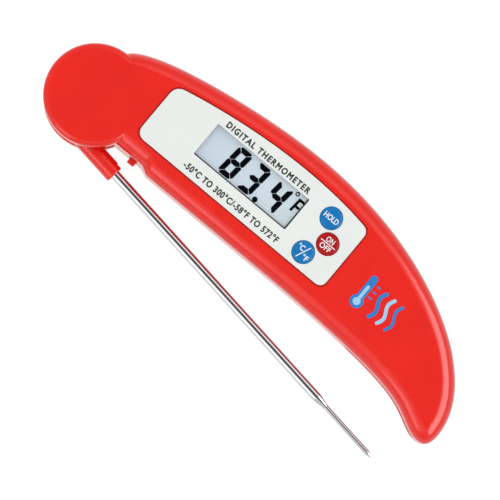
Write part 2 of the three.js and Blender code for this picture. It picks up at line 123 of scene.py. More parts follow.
LABEL_TOP = box_mm("face_label")[1].z
FILM = 0.85  # the label's thickness
WINDOW_LOW = box_mm("display_window")[0] + Vector((0.8, 0.8, 0))
WINDOW_HIGH = box_mm("display_window")[1] - Vector((0.8, 0.8, 0))
LCD_LOW, LCD_HIGH = box_mm("lcd_glass")
LABEL_GAP = 0.42  # between the label and its recess
BUTTONS = {"hold": "blue_plastic", "power": "crimson_plastic", "unit": "blue_plastic"}
BUTTON_PLACES = [middle(f"{name}_button") for name in BUTTONS]
BUTTON_R = 3.5
BUTTON_TOP = box_mm("hold_button")[1].z - 0.03  # the legend fills the rest
BUTTON_FOOT = box_mm("hold_button")[0].z
CAP_FLAT = 2.7  # the cap's flat middle
CAP_DROP = 0.30  # how far its rim lies below the middle
CAP_RIM = 0.35  # rounding of the rim
PEG = middle("fold_peg")
PEG_HALF = 1.2  # half width of the square peg
PEG_HOLE = PEG_HALF + 0.3  # and of the holes it stands in
CASE_SCREWS = [middle(f"case_screw_{i}") for i in (1, 2, 3, 4)]
BOARD_SCREWS = [middle(f"board_screw_{i}") for i in (1, 2)]
BOARD_TOP = box_mm("circuit_board")[1].z
CELL_LOW, CELL_HIGH = box_mm("battery_cell")
CELL_AXIS = middle("battery_cell")
DOOR_LOW, DOOR_HIGH = box_mm("battery_door")
DOOR_GAP = 0.25  # between the door and its recess
MAGNET_LOW, MAGNET_HIGH = box_mm("magnet")
MAGNET_R = (MAGNET_HIGH.x - MAGNET_LOW.x) / 2
MAGNET_AXIS = middle("magnet").xy

CLOUD_SIZE = 14  # grain of the cloudy colour
PATCH_SIZE = 3.0  # and of the uneven gloss
GLOSS_VARY = 0.15
COAT_ROUGHNESS = 0.17

# ---- mesh helpers


def placed(name, data):
    """A new object of the scene, with its mesh, letters, light or camera."""
    made = bpy.data.objects.new(name, data)
    bpy.context.scene.collection.objects.link(made)
    return made


def discard(made):
    mesh = made.data
    bpy.data.objects.remove(made)
    bpy.data.meshes.remove(mesh)


def new_object(name, bm):
    """An object from a bmesh, with its doubled points merged and its faces turned outwards."""
    bmesh.ops.remove_doubles(bm, verts=bm.verts, dist=1e-5)
    bmesh.ops.recalc_face_normals(bm, faces=bm.faces)
    mesh = bpy.data.meshes.new(name)
    bm.to_mesh(mesh)
    bm.free()
    return placed(name, mesh)


def stack(name, rings, loop=False):
    """A solid skinned over rings of points and capped at both ends, or closed on itself."""
    bm = bmesh.new()
    rows = [[bm.verts.new(p) for p in ring] for ring in rings]
    pairs = list(zip(rows, rows[1:]))
    if loop:
        pairs.append((rows[-1], rows[0]))
    for low, high in pairs:
        count = max(len(low), len(high))
        for k in range(count):
            n = (k + 1) % count
            quad = [low[k % len(low)], low[n % len(low)], high[n % len(high)], high[k % len(high)]]
            corners = list(dict.fromkeys(quad))
            if len(corners) > 2:
                bm.faces.new(corners)
    if not loop:
        for row in (rows[0], rows[-1]):
            if len(row) > 2:
                bm.faces.new(row)
    return new_object(name, bm)


def circle(r, z, x=0.0, y=0.0, sides=96):
    if r < 1e-6:
        return [(x, y, z)]
    turns = [2 * math.pi * k / sides for k in range(sides)]
    return [(x + r * math.cos(a), y + r * math.sin(a), z) for a in turns]


def lathe(name, profile, x=0.0, y=0.0, sides=96, loop=False):
    """A turned solid about the Z axis through (x, y), from (radius, z) pairs."""
    return stack(name, [circle(r, z, x, y, sides) for r, z in profile], loop)


def rod(r, z0, z1, x=0.0, y=0.0, sides=48):
    return lathe("tool", [(r, z0), (r, z1)], x, y, sides)


def pipe(name, inner, outer, z0, z1, x=0.0, y=0.0, sides=96):
    profile = [(inner, z0), (outer, z0), (outer, z1), (inner, z1)]
    return lathe(name, profile, x, y, sides, loop=True)


def rods_at(places, r, z0, z1, sides=48):
    return [rod(r, z0, z1, p.x, p.y, sides) for p in places]


def layers(name, *levels):
    """A solid through outlines of the same number of points, each given with its height."""
    return stack(name, [[(p[0], p[1], z) for p in points] for points, z in levels])


def prism(name, points, z0, z1):
    return layers(name, (points, z0), (points, z1))


def block(x0, x1, y0, y1, z0, z1):
    return prism("tool", [(x0, y0), (x1, y0), (x1, y1), (x0, y1)], z0, z1)


def sweep(name, path, radius, sides=12):
    """A round wire along a path, with its ends rounded off."""
    path = [Vector(p) for p in path]
    tangents = [(b - a).normalized() for a, b in zip(path, path[1:])]
    between = [(a + b).normalized() for a, b in zip(tangents, tangents[1:])]
    tangents = [tangents[0], *between, tangents[-1]]
    side = tangents[0].orthogonal().normalized()
    rings = []
    for p, t in zip(path, tangents):
        side = (side - side.dot(t) * t).normalized()
        other = t.cross(side)
        turns = [2 * math.pi * k / sides for k in range(sides)]
        rings.append([p + radius * (math.cos(a) * side + math.sin(a) * other) for a in turns])
    start = path[0] - tangents[0] * radius * 0.5
    end = path[-1] + tangents[-1] * radius * 0.5
    return stack(name, [[start], *rings, [end]])


def bake(made):
    """Turns an object's modifiers into its mesh."""
    bpy.context.view_layer.update()
    graph = bpy.context.evaluated_depsgraph_get()
    mesh = bpy.data.meshes.new_from_object(made.evaluated_get(graph))
    old = made.data
    made.modifiers.clear()
    made.data = mesh
    bpy.data.meshes.remove(old)


def combine(target, operation, tools):
    for tool in tools:
        step = target.modifiers.new("step", "BOOLEAN")
        step.operation = operation
        step.solver = "EXACT"
        step.object = tool
    bake(target)
    for tool in tools:
        discard(tool)
    return target


def cut(target, *tools):
    return combine(target, "DIFFERENCE", tools)


def join(target, *tools):
    return combine(target, "UNION", tools)


def moved(made, matrix):
    made.data.transform(matrix)
    return made


def finish_piece(made, body, slot, nodes=(), look=None, sharp=32):
    """Makes a millimetre mesh a piece: metres, smooth faces, body, slot and CAD nodes.

    Print and ink wear a look of their own on top of the slot they are laid on.
    """
    made.data.transform(Matrix.Scale(MM, 4))
    made.data.polygons.foreach_set("use_smooth", [True] * len(made.data.polygons))
    made.data.set_sharp_from_angle(angle=math.radians(sharp))
    made.data.materials.clear()
    made.data.materials.append(MATERIALS[look or slot])
    normals = made.modifiers.new("normals", "WEIGHTED_NORMAL")
    normals.keep_sharp = True
    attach(made, body)
    if nodes:
        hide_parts(*nodes)
    return made


# ---- outlines


def curve_point(control, t):
    """A point of the Bezier curve with any number of control points."""
    while len(control) > 1:
        control = [a.lerp(b, t) for a, b in zip(control, control[1:])]
    return control[0]


def resample(points, spacing):
    """Points an even spacing apart round a closed outline."""
    ends = points[1:] + points[:1]
    lengths = [(b - a).length for a, b in zip(points, ends)]
    count = round(sum(lengths) / spacing)
    step = sum(lengths) / count
    made, walked, wanted = [], 0.0, 0.0
    for a, b, length in zip(points, ends, lengths):
        while len(made) < count and wanted <= walked + length:
            made.append(a.lerp(b, (wanted - walked) / length))
            wanted += step
        walked += length
    return made


def outline(start, *segments, spacing=0.8):
    """A closed outline of lines (one point each) and curves (two or three), counter-clockwise."""
    here = Vector(start)
    dense = []
    for segment in segments:
        control = [here] + [Vector(p) for p in segment]
        dense += [curve_point(control, k / 60) for k in range(60)]
        here = control[-1]
    points = resample(dense, spacing)
    area = sum(a.cross(b) for a, b in zip(points, points[1:] + points[:1]))
    return points if area > 0 else points[::-1]


def inward_normals(points):
    before = points[-1:] + points[:-1]
    after = points[1:] + points[:1]
    tangents = [(b - a).normalized() for a, b in zip(before, after)]
    return [Vector((-t.y, t.x)) for t in tangents]


def inset(points, distance):
    return [p + distance * n for p, n in zip(points, inward_normals(points))]


def handle_outline(spacing=0.8):
    """Curved back, tail, belly, straight edge with its notch, and a round end inside the disc."""
    return outline(
        (-1, 15.3),
        ((0.9, 18.9), (12, 22), (18, 23.3)),
        ((32, 26.4), (50, 28.7), (64, 28.7)),
        ((102, 28.7), (124.5, 14), (130.8, 8.3)),
        ((133, 6.3), (142, -1.3), (142, -12.1)),
        ((142, -15.6), (141, -17.4), (138.3, -17.4)),
        ((135, -17.4), (132.6, -15.4), (128.2, -13.5)),
        ((122, -10.9), (112, -9), (STRAIGHT_END, STRAIGHT)),
        ((NOTCH_END, STRAIGHT),),
        ((25.5, STRAIGHT), (24.7, NOTCH), (23, NOTCH)),
        ((2, NOTCH),),
        ((-6, NOTCH), (-6, 7), (-1, 15.3)),
        spacing=spacing,
    )


def label_outline(grow=0.0):
    x0, x1, y0 = 16.6 - grow, 87.6 + grow, -1.2 - grow
    return outline(
        (x0 + 3.3, y0),
        ((x1 - 2.7, y0),),
        ((x1, y0), (x1, y0 + 2.7)),
        ((x1, 18.3),),
        ((x1, 20.7 + grow), (x1 - 2.4, 21.1 + grow)),
        ((65.3, 24.4 + grow), (41.7, 22.7 + grow), (19.8 - grow, 18 + grow)),
        ((x0, 17.3 + grow), (x0, 14.2)),
        ((x0, y0 + 3.3),),
        ((x0, y0), (x0 + 3.3, y0)),
        spacing=0.4,
    )


def rounded_rect(x0, x1, y0, y1, r, steps=8):
    corners = [(x1 - r, y0 + r, -90), (x1 - r, y1 - r, 0), (x0 + r, y1 - r, 90), (x0 + r, y0 + r, 180)]
    points = []
    for x, y, start in corners:
        for k in range(steps + 1):
            a = math.radians(start + 90 * k / steps)
            points.append(Vector((x + r * math.cos(a), y + r * math.sin(a))))
    return points


def ribbon(points, width, steps=6):
    """The outline of a stroke of even width with round ends along a line of points."""
    points = [Vector(p) for p in points]
    half = width / 2
    before = points[:1] + points[:-1]
    after = points[1:] + points[-1:]
    sides = [(b - a).normalized() for a, b in zip(before, after)]
    sides = [Vector((-t.y, t.x)) for t in sides]
    made = []
    for line, normals in ((points, sides), (points[::-1], [-s for s in sides[::-1]])):
        made += [p - half * n for p, n in zip(line, normals)]
        for k in range(1, steps):
            a = math.pi * k / steps
            n = normals[-1]
            made.append(line[-1] - half * n * math.cos(a) + half * Vector((n.y, -n.x)) * math.sin(a))
    return made


def arc(r, z, radius, start, end, steps=8):
    """Points (radius, height) of a profile's round stretch, by angle in degrees."""
    turns = [math.radians(start + (end - start) * k / steps) for k in range(steps + 1)]
    return [(r + radius * math.cos(a), z + radius * math.sin(a)) for a in turns]


# ---- materials

MATERIALS = {}


def set_inputs(node, values):
    for key, value in values.items():
        node.inputs[key].default_value = value


class Nodes:
    """A new material's node tree, with short calls for what the materials here share."""

    def __init__(self, name):
        self.material = bpy.data.materials.new(name)
        self.material.use_nodes = True
        self.tree = self.material.node_tree
        self.shader = self.tree.nodes["Principled BSDF"]
        self.output = self.tree.nodes["Material Output"]
        self.place = self.tree.nodes.new("ShaderNodeTexCoord").outputs["Object"]

    def add(self, kind, **values):
        node = self.tree.nodes.new(kind)
        set_inputs(node, values)
        return node

    def link(self, source, target):
        self.tree.links.new(source, target)

    def noise(self, size, stretch=(1, 1, 1), turn=0.0, detail=3.0):
        """Noise whose grains are size millimetres across, drawn out along X, Y or Z."""
        scale = [1 / (size * MM * s) for s in stretch]
        mapping = self.add("ShaderNodeMapping", Rotation=(0, 0, turn), Scale=scale)
        self.link(self.place, mapping.inputs["Vector"])
        noise = self.add("ShaderNodeTexNoise", Scale=1.0, Detail=detail)
        self.link(mapping.outputs["Vector"], noise.inputs["Vector"])
        return noise.outputs["Fac"]

    def ranged(self, source, low, high):
        """The source's 0.3 to 0.7, where noise mostly lies, as low to high."""
        node = self.add("ShaderNodeMapRange")
        set_inputs(node, {"From Min": 0.3, "From Max": 0.7, "To Min": low, "To Max": high})
        self.link(source, node.inputs["Value"])
        return node.outputs["Result"]

    def mixed(self, source, first, second):
        """Two colours mixed by the source."""
        node = self.tree.nodes.new("ShaderNodeMix")
        node.data_type = "RGBA"
        self.link(source, node.inputs["Factor"])
        set_inputs(node, {"A": (*first, 1), "B": (*second, 1)})
        return node.outputs["Result"]

    def bump(self, source, height):
        """Bumps of a height in millimetres."""
        node = self.add("ShaderNodeBump", Strength=1.0, Distance=height * MM)
        self.link(source, node.inputs["Height"])
        self.link(node.outputs["Normal"], self.shader.inputs["Normal"])


def surface(look, colour, roughness, metal=0.0, vary=0.05, grain=0.12, height=0.0006,
            coat=0.0, specular=0.5, stretch=(1, 1, 1), turn=0.0):
    """A surface with cloudy colour, uneven gloss and a fine grain."""
    made = Nodes(look)
    clouds = made.ranged(made.noise(CLOUD_SIZE, detail=2.0), 0, 1)
    darker = [c * (1 - vary) for c in colour]
    lighter = [min(1, c * (1 + vary)) for c in colour]
    made.link(made.mixed(clouds, darker, lighter), made.shader.inputs["Base Color"])
    patches = made.noise(PATCH_SIZE, stretch, turn)
    gloss = made.ranged(patches, roughness * (1 - GLOSS_VARY), roughness * (1 + GLOSS_VARY))
    made.link(gloss, made.shader.inputs["Roughness"])
    made.bump(made.noise(grain, stretch, turn), height)
    set_inputs(made.shader, {
        "Metallic": metal,
        "Specular IOR Level": specular,
        "Coat Weight": coat,
        "Coat Roughness": COAT_ROUGHNESS,
    })
    MATERIALS[look] = made.material
    return made


def clear_cover():
    """Clear acrylic: almost nothing but its gloss, with a faint haze in its moulding."""
    made = Nodes("clear_plastic")
    gloss = made.add("ShaderNodeBsdfGlossy")
    made.link(made.ranged(made.noise(2.0), 0.02, 0.05), gloss.inputs["Roughness"])
    through = made.add("ShaderNodeBsdfTransparent", Color=(0.985, 0.99, 0.995, 1))
    edge_on = made.add("ShaderNodeLayerWeight", Blend=0.12)
    mix = made.tree.nodes.new("ShaderNodeMixShader")
    made.link(edge_on.outputs["Facing"], mix.inputs["Fac"])
    made.link(through.outputs["BSDF"], mix.inputs[1])
    made.link(gloss.outputs["BSDF"], mix.inputs[2])
    made.link(mix.outputs["Shader"], made.output.inputs["Surface"])
    MATERIALS["clear_plastic"] = made.material


def display_material():
    """The display's polarizer: bluish, with painted shade: darker towards its disc end, paler towards the
    tail.
    """
    made = surface("display_glass", (0.6, 0.65, 0.7), 0.22)
    split = made.tree.nodes.new("ShaderNodeSeparateXYZ")
    made.link(made.place, split.inputs["Vector"])
    along = made.add("ShaderNodeMapRange")
    set_inputs(along, {"From Min": WINDOW_LOW.x * MM, "From Max": WINDOW_HIGH.x * MM})
    made.link(split.outputs["X"], along.inputs["Value"])
    # painted shade: the display's colour darkens towards the disc end, where the window's recess shades
    # it
    pale = made.mixed(along.outputs["Result"], (0.71, 0.82, 0.91), (0.78, 0.87, 0.91))
    made.link(pale, made.shader.inputs["Base Color"])


def board_material():
    """Green solder mask with fine parallel tracks under it."""
    mask, darker, over_track = (0.012, 0.15, 0.045), (0.010, 0.13, 0.040), (0.05, 0.30, 0.10)
    made = surface("circuit_board", mask, 0.32, coat=0.3)
    tracks = made.add("ShaderNodeTexBrick", Scale=300)
    set_inputs(tracks, {
        "Mortar Size": 0.035,
        "Color1": (*mask, 1),
        "Color2": (*darker, 1),
        "Mortar": (*over_track, 1),
    })
    made.link(made.place, tracks.inputs["Vector"])
    made.link(tracks.outputs["Color"], made.shader.inputs["Base Color"])


def make_materials():
    surface("red_plastic", (0.84, 0.009, 0.002), 0.35, vary=0.03, coat=0.85, specular=0.08)
    surface("label_film", (0.80, 0.83, 0.80), 0.42, vary=0.012, grain=0.2, height=0.0008)
    surface("white_plastic", (0.80, 0.80, 0.78), 0.45)
    surface("black_plastic", (0.015, 0.015, 0.016), 0.45)
    surface("grey_rubber", (0.30, 0.32, 0.35), 0.75, height=0.002)
    surface("blue_plastic", (0.0, 0.18, 0.50), 0.24, vary=0.06, specular=0.25)
    surface("crimson_plastic", (0.44, 0.003, 0.006), 0.24, vary=0.06, specular=0.2)
    surface("cell_jacket", (0.03, 0.03, 0.035), 0.28, coat=0.4)
    surface("nickel_plate", (0.70, 0.69, 0.66), 0.24, metal=1.0)
    surface("magnet_nickel", (0.60, 0.60, 0.59), 0.30, metal=1.0)
    surface("screw_steel", (0.50, 0.50, 0.51), 0.30, metal=1.0)
    surface("stainless_steel", (0.66, 0.66, 0.67), 0.10, metal=1.0, vary=0.02,
            grain=0.06, height=0.0001, stretch=(60, 1, 1), turn=-REST_ANGLE)
    surface("red_insulation", (0.60, 0.03, 0.02), 0.4)
    surface("black_insulation", (0.02, 0.02, 0.02), 0.4)
    surface("white_insulation", (0.80, 0.80, 0.76), 0.4)
    surface("print_black", (0.012, 0.016, 0.015), 0.5, vary=0.2)
    surface("print_white", (0.92, 0.94, 0.96), 0.4, vary=0.02)
    surface("print_blue", (0.0, 0.20, 0.60), 0.35)
    surface("print_pale", (0.33, 0.62, 0.86), 0.35)
    surface("lcd_ink", (0.001, 0.001, 0.004), 0.6, vary=0.2, specular=0.05)
    # dark colour of the painted shade strip along two sides of the display's window
    surface("lcd_painted_shade", (0.045, 0.06, 0.065), 0.5, vary=0.1)
    clear_cover()
    display_material()
    board_material()


# ---- shells


def room_inside(points, inward):
    """Radius of the largest circle that touches each point of an outline from inside."""
    room = []
    for p, n in zip(points, inward):
        radius = math.inf
        for q in points:
            side = (q - p).dot(n)
            if side > 1e-3:
                radius = min(radius, (q - p).length_squared / (2 * side))
        room.append(radius)
    return room


def narrowed(room):
    """The rounding's width at each point, less wherever the outline is tight nearby."""
    near = range(-8, 9)  # neighbours on both sides
    count = len(room)
    share = 0.9  # of the room that the rounding may take
    fit = [min(FILLET_WIDTH, share * r) for r in room]
    least = [min(fit[(i + k) % count] for k in near) for i in range(count)]
    return [sum(least[(i + k) % count] for k in near) / len(near) for i in range(count)]


def fillet_reach(points):
    """From each point of the outline to where its rounding meets the flat face."""
    inward = inward_normals(points)
    room = room_inside(points, inward)
    reach = []
    for p, n, width in zip(points, inward, narrowed(room)):
        if p.x > TAIL:
            reach.append(FILLET_WIDTH * n)
        elif p.y < NOTCH + 0.2 and 3 < p.x < STRAIGHT_END:
            reach.append(Vector((0, FILLET_WIDTH)))
        else:
            reach.append(width * n)
    tight = [i for i, (p, r) in enumerate(zip(points, room)) if p.x > TAIL and r < FILLET_WIDTH]
    before, after = tight[0] - 1, tight[-1] + 1
    tip = (points[before] + reach[before] + points[after] + reach[after]) / 2
    for i in tight:  # round the tail, every line runs to one point
        reach[i] = tip - points[i]
    return reach


def notch_share(p):
    """How far out a point lies on the step beside the holder, 1 being along the step itself."""
    if p.x < NOTCH_END and p.y < NOTCH + 0.1:
        return (p.y - STRAIGHT) / (NOTCH - STRAIGHT)
    return 0.0


def shell_half(name, up):
    """One half of the handle's body, from the parting line up (+1) or down (-1) to its face."""
    points = handle_outline()
    reach = fillet_reach(points)
    inward = inward_normals(points)

    def ring(part, height, chamfer=0.0):
        made = []
        for p, r, n in zip(points, reach, inward):
            q = p + part * r + chamfer * n
            lean = notch_share(p) * NOTCH_DRAFT
            made.append((q.x, q.y + lean * up * height, SPLIT + up * height))
        return made

    rings = [ring(0, 0, PARTING), ring(0, PARTING)]
    wall = SPLIT - FILLET_HEIGHT
    steps = 12
    for k in range(steps + 1):
        a = math.pi / 2 * k / steps
        rings.append(ring(1 - math.cos(a), wall + FILLET_HEIGHT * math.sin(a)))
    return stack(name, rings)


def disc_profile():
    """A pivot disc standing on z = 0, its outer edge rounded and its inner rim eased."""
    return [
        (0, 0), *arc(DISC_R - DISC_EDGE, DISC_EDGE, DISC_EDGE, -90, 0, 10),
        *arc(DISC_R - DISC_LIP, DISC_T - DISC_LIP, DISC_LIP, 0, 90, 3), (0, DISC_T),
    ]


def cavity(z0, z1):
    """The room inside the handle, clear of the hub and of the slot for the probe's tip."""
    room = prism("room", inset(handle_outline(1.2), WALL + 0.1), z0, z1)
    kept_solid = [
        (-20, 16, -20, 30),  # round the hub
        (14, 28, -12, -5.4),  # behind the step beside the holder
        (99, 145, -20, -6.9),  # round the slot for the tip
        (127, 145, -20, 30),  # the end of the tail
    ]
    solid = [block(*plan, -1, THICK + 1) for plan in kept_solid]
    return cut(room, rod(DISC_R + 1.8, -1, THICK + 1, sides=96), *solid)


def tip_slot():
    """The slot in the belly that takes the folded probe's tip, with round ends."""
    side = rounded_rect(SLOT_LOW, SLOT_HIGH, SPLIT - SLOT_HALF, SPLIT + SLOT_HALF, SLOT_HALF - 0.1)
    slot = prism("tool", side, 8.8, 20)
    return moved(slot, Matrix.Rotation(math.pi / 2, 4, "X"))


def free_space():
    """What both shells leave free: the hub, the probe's tip and the folding switch's peg."""
    return [
        rod(DISC_R - 0.3, DISC_T, THICK - DISC_T, sides=96),
        tip_slot(),
        block(PEG.x - PEG_HOLE, PEG.x + PEG_HOLE, -10, -5, SPLIT - PEG_HOLE, SPLIT + PEG_HOLE),
    ]


def build_front_shell():
    """The front half with its disc and boss, screw pillars, label recess and button holes."""
    ceiling = THICK - SKIN
    shell = cut(shell_half("handle_front", 1), *free_space())
    face_down = Matrix.Translation((0, 0, THICK)) @ Matrix.Rotation(math.pi, 4, "X")
    join(shell, moved(lathe("disc", disc_profile()), face_down))
    cut(shell, cavity(SPLIT - 1, ceiling))
    pillars = rods_at(CASE_SCREWS, 2.6, SPLIT + 0.02, ceiling + 0.5)
    posts = rods_at(BOARD_SCREWS, 1.9, BOARD_TOP + 0.1, ceiling + 0.5)
    boss = rod(BOSS_R, DISC_T + 0.3, THICK - DISC_T + 0.5, sides=64)
    join(shell, *pillars, *posts, boss)
    pilots = rods_at(CASE_SCREWS, 1.15, SPLIT - 1, ceiling - 1, 24)
    pilots += rods_at(BOARD_SCREWS, 1.05, BOARD_TOP, ceiling - 0.6, 24)
    holes = rods_at(BUTTON_PLACES, BUTTON_R + 0.15, SPLIT, THICK + 1, 64)
    recess = label_outline(LABEL_GAP)
    groove = cut(prism("groove", recess, LABEL_TOP - 1.25, THICK + 1),
                 prism("tool", label_outline(-0.4), 0, THICK + 2))
    lead_floor = THICK - 3.5
    cut(
        shell,
        groove,
        prism("tool", recess, LABEL_TOP - FILM - 0.03, THICK + 1),
        block(WINDOW_LOW.x - 1, WINDOW_HIGH.x + 1, WINDOW_LOW.y - 1, WINDOW_HIGH.y + 1, SPLIT, THICK),
        rod(BOSS_BORE, DISC_T - 1, lead_floor),
        block(-KEY_HALF, KEY_HALF, -BOSS_R - 1, 0, SPLIT - KEY_HALF, SPLIT + KEY_HALF),
        block(0, DISC_R + 4, -KEY_HALF, KEY_HALF, THICK - DISC_T - 0.1, lead_floor),
        *pilots, *holes,
    )
    finish_piece(shell, "handle", "red_plastic", ["front_shell"])


def around_cell(grow, z0, z1):
    """A block round the battery cell with its contact and its spring."""
    return block(CELL_LOW.x - 2.2 - grow, CELL_HIGH.x + 5.8 + grow,
                 CELL_AXIS.y - 6.2 - grow, CELL_AXIS.y + 6.2 + grow, z0, z1)


def build_rear_shell():
    """The rear half with its disc, battery bay, magnet pocket and screw holes."""
    shell = cut(shell_half("handle_rear", -1), *free_space())
    join(shell, lathe("disc", disc_profile()))
    cut(shell, cavity(SKIN, SPLIT + 1))
    bay_wall, foot = 1.2, SKIN - 0.5
    bay = cut(around_cell(bay_wall, foot, SPLIT - 0.2), around_cell(0, 0, SPLIT))
    pillars = rods_at(CASE_SCREWS, 3.2, foot, SPLIT - 0.02)
    pad = rod(7.4, foot, MAGNET_HIGH.z + 1.2, *MAGNET_AXIS)
    join(shell, bay, *pillars, pad)
    head_hole = [(2.9, -1), (2.9, 0), (2.5, 0.4), (2.5, 3.2)]
    heads = [lathe("tool", head_hole, s.x, s.y, 48) for s in CASE_SCREWS]
    shafts = rods_at(CASE_SCREWS, 1.45, 0, SPLIT + 1, 32)
    mouth, fit = MAGNET_R + 0.5, MAGNET_R + 0.15
    pocket_profile = [(mouth, -1), (mouth, 0), (fit, 0.35), (fit, MAGNET_HIGH.z + 0.1)]
    pocket = lathe("tool", pocket_profile, *MAGNET_AXIS)
    cut(
        shell,
        prism("tool", door_outline(-0.05), -1, 1.15),
        prism("tool", door_outline(1.25), 0, SKIN + 1),
        pocket, *heads, *shafts,
    )
    finish_piece(shell, "handle", "red_plastic", ["rear_shell"])


def door_outline(shrink):
    """The outline of the battery door's recess, drawn in all round by shrink."""
    less = shrink - DOOR_GAP
    return rounded_rect(DOOR_LOW.x + less, DOOR_HIGH.x - less, DOOR_LOW.y + less, DOOR_HIGH.y - less, 2.5)


def build_door():
    """The battery door: eased edges, a locating lip inside and five grip grooves outside."""
    edge, bevel, pitch = 0.3, 0.09, 1.8
    rings = [(DOOR_GAP + edge, 0), (DOOR_GAP + bevel, bevel), (DOOR_GAP, edge), (DOOR_GAP, 1.0)]
    panel = layers("door_panel", *[(door_outline(less), z) for less, z in rings])
    lip = prism("lip", door_outline(1.8), 0.7, 1.8)
    cut(lip, prism("tool", door_outline(2.8), 0.95, 3))
    join(panel, lip)
    grooves = []
    for i in range(5):
        x = DOOR_HIGH.x + DOOR_GAP - 5 - pitch * i
        bar = ribbon([(x, DOOR_LOW.y + 3.7), (x, DOOR_HIGH.y - 3.7)], 0.9)
        grooves.append(prism("tool", bar, -1, 0.4))
    cut(panel, *grooves)
    finish_piece(panel, "door", "red_plastic", ["battery_door"])


# ---- label and display


def build_label():
    """The printed face film, its upper edge eased, with the window and the button holes."""
    points = label_outline()
    soft, corner, below = 0.06, 0.35, 15
    film = layers("label", (points, LABEL_TOP - FILM), (points, LABEL_TOP - soft),
                  (inset(points, soft), LABEL_TOP))
    view = rounded_rect(WINDOW_LOW.x, WINDOW_HIGH.x, WINDOW_LOW.y, WINDOW_HIGH.y, corner, 4)
    holes = rods_at(BUTTON_PLACES, BUTTON_R + 0.04, below, THICK + 1, 96)
    cut(film, prism("tool", view, below, THICK + 1), *holes)
    finish_piece(film, "handle", "label_film", ["face_label"])


def slab(name, low, high, edge):
    """A plate with its upper edges eased."""
    outer = rounded_rect(low.x, high.x, low.y, high.y, edge, 3)
    return layers(name, (outer, low.z), (outer, high.z - edge), (inset(outer, edge * 0.7), high.z))


def build_display():
    """The clear window cover, the display under it and a dark strip of painted shade along two of its
    sides.
    """
    cover = slab("window_cover", *box_mm("display_window"), 0.15)
    finish_piece(cover, "handle", "clear_plastic", ["display_window"])
    glass = slab("lcd_panel", LCD_LOW, LCD_HIGH, 0.2)
    finish_piece(glass, "handle", "display_glass", ["lcd_glass"])
    z = LCD_HIGH.z
    reach, side, foot = 0.6, 0.5, 0.55  # past the window, and widths of the painted shade strip's two legs
    low, high = WINDOW_LOW, WINDOW_HIGH
    # painted shade: a dark strip where the window's recess shades the display along two sides
    shade_strip = outline(
        (low.x - reach, low.y - reach),
        ((high.x + reach, low.y - reach),),
        ((high.x + reach, high.y + reach),),
        ((high.x - side, high.y + reach),),
        ((high.x - side, low.y + foot),),
        ((low.x - reach, low.y + foot),),
        ((low.x - reach, low.y - reach),),
        spacing=0.25,
    )
    finish_piece(prism("lcd_painted_shade_strip", shade_strip, z + 0.01, z + 0.25), "handle", "display_glass", look="lcd_painted_shade")


SEGMENTS = {"8": "abcdefg", "3": "abcdg", "4": "bcfg"}


def segment_shapes(w, h, t, gap):
    """The seven bars of a digit, w wide, h high and t thick, mitred at its cut-off corners."""
    mid, half = h / 2, t / 2
    g = gap / 2
    c, n = 1.05, 0.35  # cuts of the corners, and beside the middle bar
    m = c / 2  # where the mitre starts on the cut
    top = [(c, h), (m + g, h - m + g), (t + g, h - t), (w - t - g, h - t), (w - m - g, h - m + g),
           (w - c, h)]
    right = [(w, h - c), (w - m + g, h - m - g), (w - t, h - t - g), (w - t, mid + half + g),
             (w - half, mid + g), (w - n, mid + g), (w, mid + n + g)]
    middle_bar = [(half + g, mid), (t + g, mid + half), (w - t - g, mid + half), (w - half - g, mid),
                  (w - t - g, mid - half), (t + g, mid - half)]
    left = [(w - x, y) for x, y in right]

    def lower(points):
        return [(x, h - y) for x, y in points]

    return {"a": top, "b": right, "c": lower(right), "d": lower(top), "e": lower(left), "f": left,
            "g": middle_bar}


def build_reading():
    """The reading, in dark liquid-crystal bars: 83.4 degrees Fahrenheit."""
    z0, z1 = LCD_HIGH.z + 0.005, LCD_HIGH.z + 0.05
    base, height, width, bar = WINDOW_LOW.y + 0.8, 10.2, 5.2, 1.65
    lean = math.tan(math.radians(5))
    shapes = segment_shapes(width, height, bar, 0.14)
    origin = WINDOW_LOW.x
    parts = []
    for digit, x in (("8", origin + 8.2), ("3", origin + 15.4), ("4", origin + 24.0)):
        for key in SEGMENTS[digit]:
            points = [(x + px + lean * py, base + py) for px, py in shapes[key]]
            parts.append(prism("bar", points, z0, z1))
    decimal_point = rod(0.85, z0, z1, origin + 22.5, base + 0.55)
    degree_sign = pipe("ring", 0.34, 0.68, z0, z1, origin + 31.25, base + 9.85, 32)
    parts += [decimal_point, degree_sign]
    fx, fy, stroke, tall, wide = origin + 32.1, base + 4.75, 0.85, 4.6, 2.35
    letter = [(0, 0), (stroke, 0), (stroke, 1.55), (wide - 0.2, 1.55), (wide - 0.2, 2.35), (stroke, 2.35),
              (stroke, tall - stroke), (wide, tall - stroke), (wide, tall), (0, tall)]
    parts.append(prism("bar", [(fx + px + lean * py, fy + py) for px, py in letter], z0, z1))
    finish_piece(merged("lcd_reading", parts), "handle", "display_glass", look="lcd_ink")


def merged(name, parts):
    """Separate closed solids as one piece."""
    bm = bmesh.new()
    for part in parts:
        bm.from_mesh(part.data)
        discard(part)
    return new_object(name, bm)


# ---- lettering


def thicken(bm, weight):
    """Makes letters bolder by moving their walls outwards."""
    bmesh.ops.remove_doubles(bm, verts=bm.verts, dist=1e-5)
    bmesh.ops.recalc_face_normals(bm, faces=bm.faces)
    bm.normal_update()
    shifts = []
    for v in bm.verts:
        walls = []
        for face in v.link_faces:
            normal = face.normal
            if abs(normal.z) < 0.5 and all(normal.dot(other) < 0.999 for other in walls):
                walls.append(normal.copy())
        total = sum(walls, Vector())
        if len(walls) == 2:
            total /= max(0.35, 1 + walls[0].dot(walls[1]))
        shifts.append(total * weight)
    for v, shift in zip(bm.verts, shifts):
        v.co += shift


